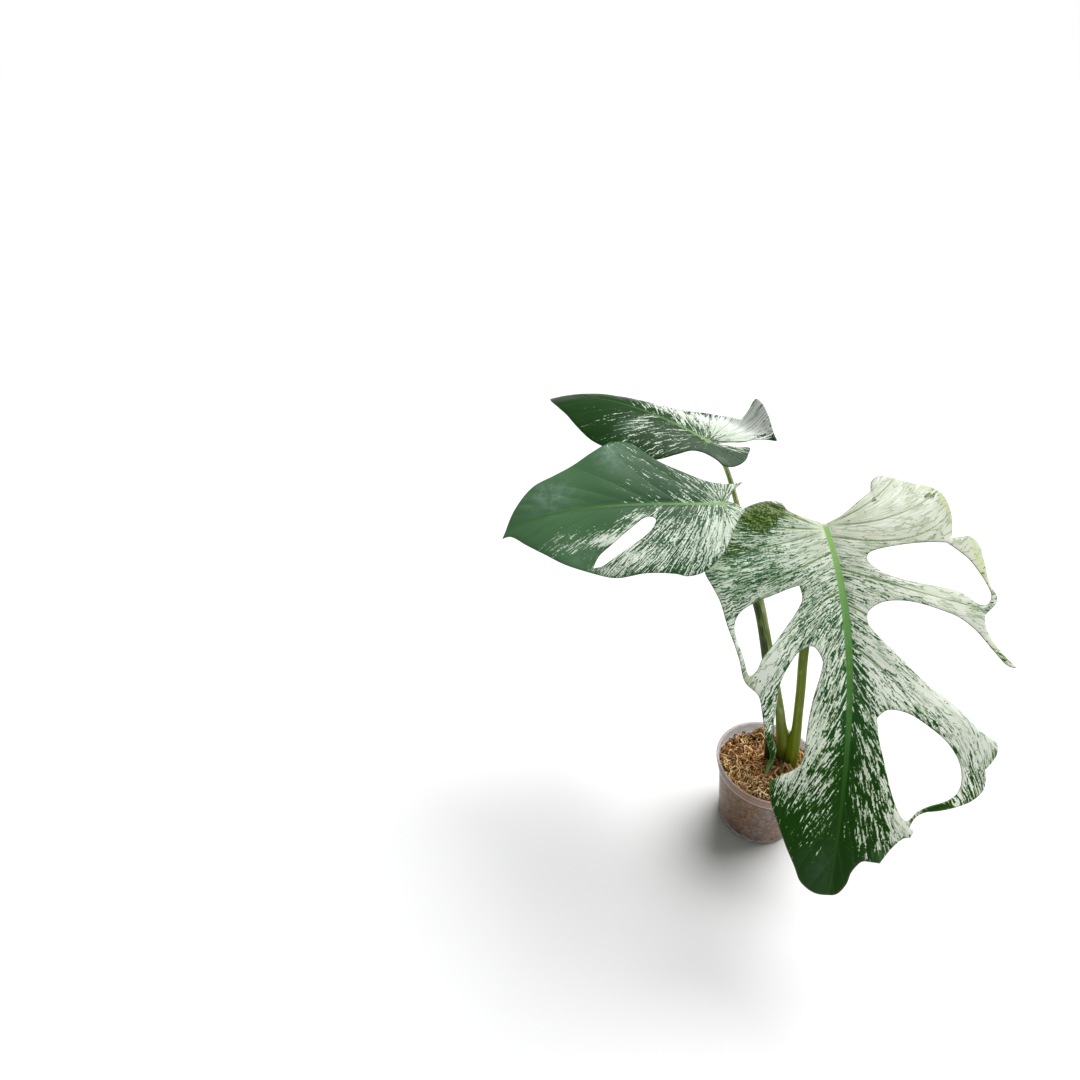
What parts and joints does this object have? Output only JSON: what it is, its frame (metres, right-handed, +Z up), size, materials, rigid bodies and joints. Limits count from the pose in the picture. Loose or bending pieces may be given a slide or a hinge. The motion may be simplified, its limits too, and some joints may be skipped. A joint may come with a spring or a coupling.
{
  "type": "potted monstera plant",
  "caption": "Potted climbing aroid with long stalks, a split and holed leaf hanging forward and entire heart-shaped leaves behind, standing in moss in a clear tapered pot.",
  "frame": {"origin": "middle of the underside of the pot", "axes": "+Z up out of the pot, -Y towards the side that the large split leaf hangs over, -X towards the side that the other leaves lean to"},
  "size_m": [0.4927, 0.4649, 0.4795],
  "materials": {
    "pale_blade": "glossy leaf, near white with green streaks that follow the veins, dark green towards the tip",
    "dark_blade": "glossy leaf, dark green with near-white streaks that follow the veins",
    "stalk": "smooth satin olive green",
    "crown": "dull, ringed with leaf scars",
    "moss": "loose curly dry fibres, golden brown",
    "pot": "thin clear plastic, slightly frosted"
  },
  "bodies": {
    "root": {"leaf_1": "pale_blade", "leaf_2": "dark_blade", "leaf_3": "dark_blade", "stalk_1": "stalk", "stalk_2": "stalk", "stalk_3": "stalk", "crown": "crown", "moss": "moss", "pot": "pot"}
  },
  "joints": []
}
